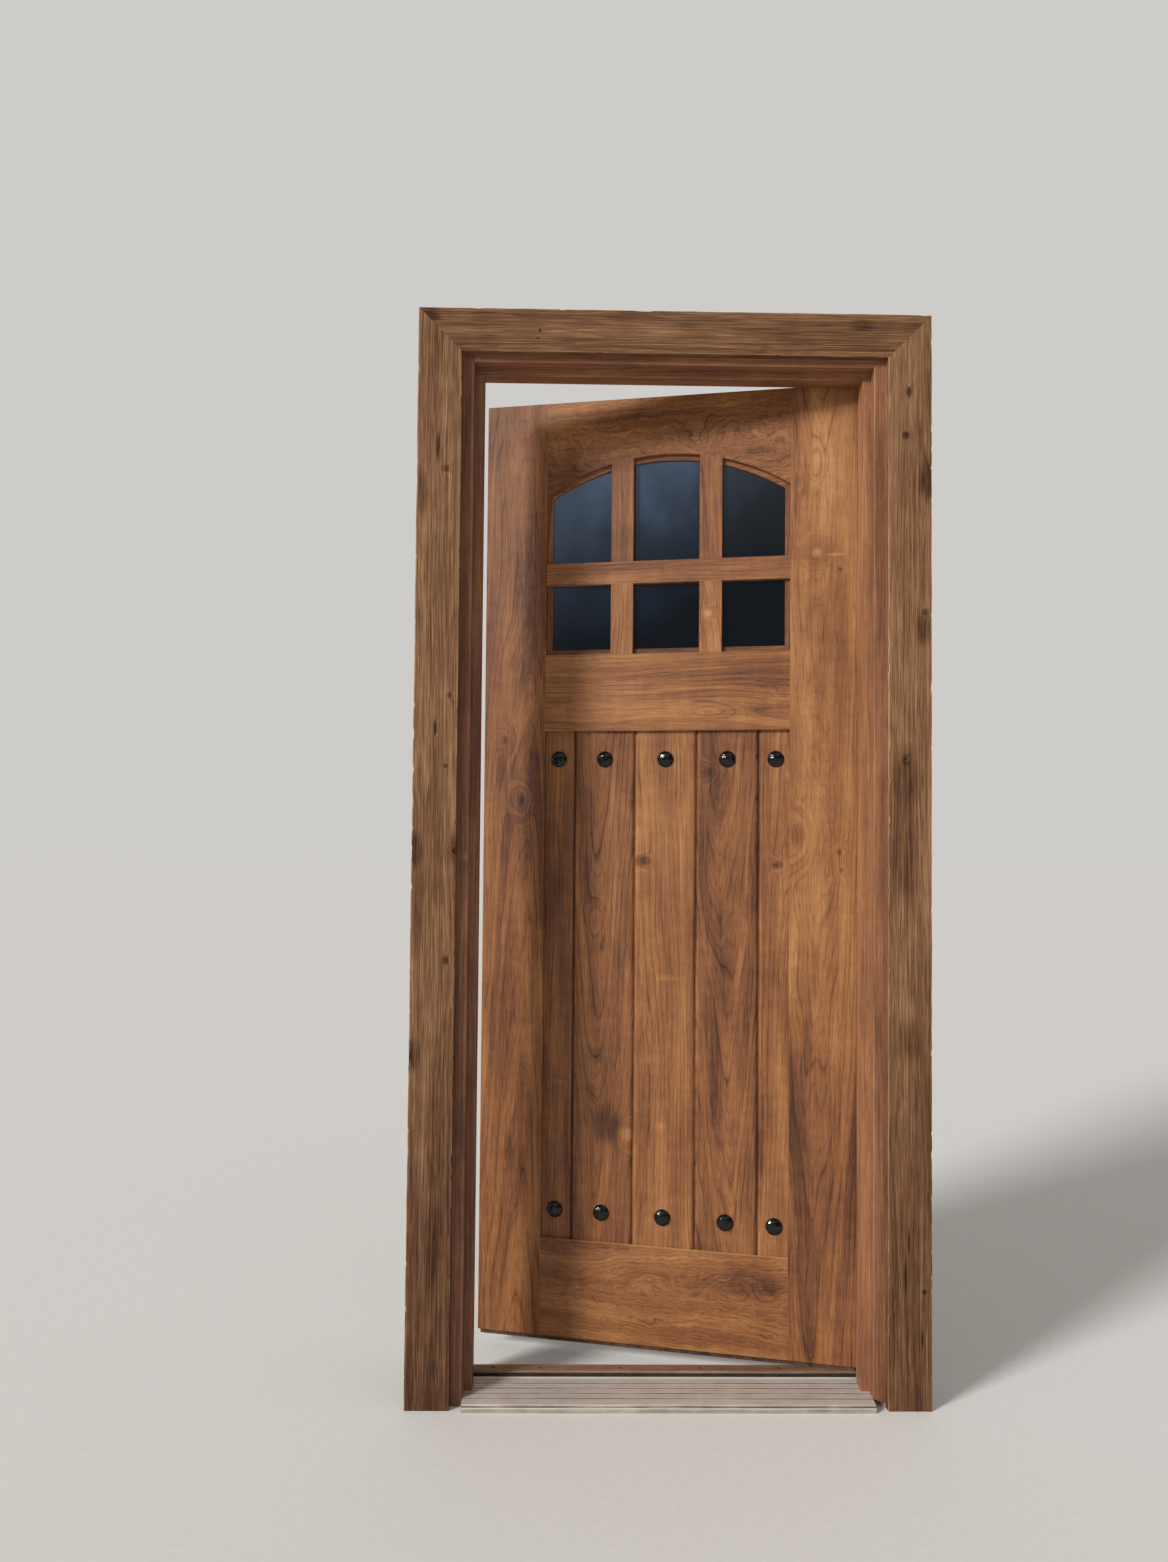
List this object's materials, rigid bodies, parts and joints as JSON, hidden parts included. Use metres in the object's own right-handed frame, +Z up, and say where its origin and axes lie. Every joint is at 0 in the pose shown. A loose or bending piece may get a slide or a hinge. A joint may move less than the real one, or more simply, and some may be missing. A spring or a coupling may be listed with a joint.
{
  "type": "exterior door with arched window in frame",
  "caption": "Rustic plank exterior door, hung ajar in its jamb and casing: arched divided-lite window over bevelled planks with domed nail heads, ribbed sill and butt hinges.",
  "frame": {"origin": "middle of the doorway, on the plane of the wall's outer face, at the underside of the sill", "axes": "+X along the wall towards the hinges, +Y from outdoors to indoors, +Z up"},
  "size_m": [1.045, 0.3261, 2.2],
  "materials": {
    "leaf_wood": "stained satin knotty alder, reddish brown",
    "casing_wood": "wire-brushed old boards, brown with grey weathering",
    "jamb_wood": "stained satin softwood, reddish brown",
    "seal": "matt dark foam and rubber",
    "tread_metal": "satin pale metal, ribbed, dusty",
    "sill_board": "plain bare board",
    "cap_wood": "stained hardwood, worn",
    "forged_iron": "hammered and blackened, glossy",
    "glass": "clear dark double glazing",
    "spacer_metal": "matt grey",
    "hinge_metal": "oil-rubbed dark bronze",
    "screw_steel": "dull steel"
  },
  "bodies": {
    "frame": {"casing_left": "casing_wood", "casing_right": "casing_wood", "casing_head": "casing_wood", "jamb_strike": "jamb_wood", "jamb_hinge": "jamb_wood", "jamb_head": "jamb_wood", "stop_left": "jamb_wood", "stop_right": "jamb_wood", "stop_head": "jamb_wood", "weatherstrip_left": "seal", "weatherstrip_right": "seal", "weatherstrip_head": "seal", "sill_gasket": "seal", "sill_tread": "tread_metal", "sill_core": "sill_board", "sill_cap": "cap_wood", "hinge_bottom_jamb_plate": "hinge_metal", "hinge_bottom_pin": "hinge_metal", "hinge_middle_jamb_plate": "hinge_metal", "hinge_middle_pin": "hinge_metal", "hinge_top_jamb_plate": "hinge_metal", "hinge_top_pin": "hinge_metal", "cap_screws": "screw_steel", "jamb_hinge_screws": "screw_steel"},
    "leaf": {"stile_left": "leaf_wood", "stile_right": "leaf_wood", "rail_bottom": "leaf_wood", "rail_lock": "leaf_wood", "rail_top": "leaf_wood", "plank_1": "leaf_wood", "plank_2": "leaf_wood", "plank_3": "leaf_wood", "plank_4": "leaf_wood", "plank_5": "leaf_wood", "outer_crossbar": "leaf_wood", "outer_upper_bars": "leaf_wood", "outer_lower_bars": "leaf_wood", "outer_bead_left": "leaf_wood", "outer_bead_right": "leaf_wood", "outer_bead_bottom": "leaf_wood", "outer_bead_arch": "leaf_wood", "inner_crossbar": "leaf_wood", "inner_upper_bars": "leaf_wood", "inner_lower_bars": "leaf_wood", "inner_bead_left": "leaf_wood", "inner_bead_right": "leaf_wood", "inner_bead_bottom": "leaf_wood", "inner_bead_arch": "leaf_wood", "glass_outer_pane": "glass", "glass_inner_pane": "glass", "glass_spacer": "spacer_metal", "clavos_lower": "forged_iron", "clavos_upper": "forged_iron", "door_sweep": "seal", "leaf_hinge_screws": "screw_steel", "hinge_bottom_leaf_plate": "hinge_metal", "hinge_middle_leaf_plate": "hinge_metal", "hinge_top_leaf_plate": "hinge_metal"}
  },
  "joints": [
    {"name": "door_swing", "type": "hinge", "parent": "frame", "child": "leaf", "pos_m": [0.408, 0.126, 1.07], "axis": [0, 0, -1], "range_deg": [-13, 157]}
  ]
}
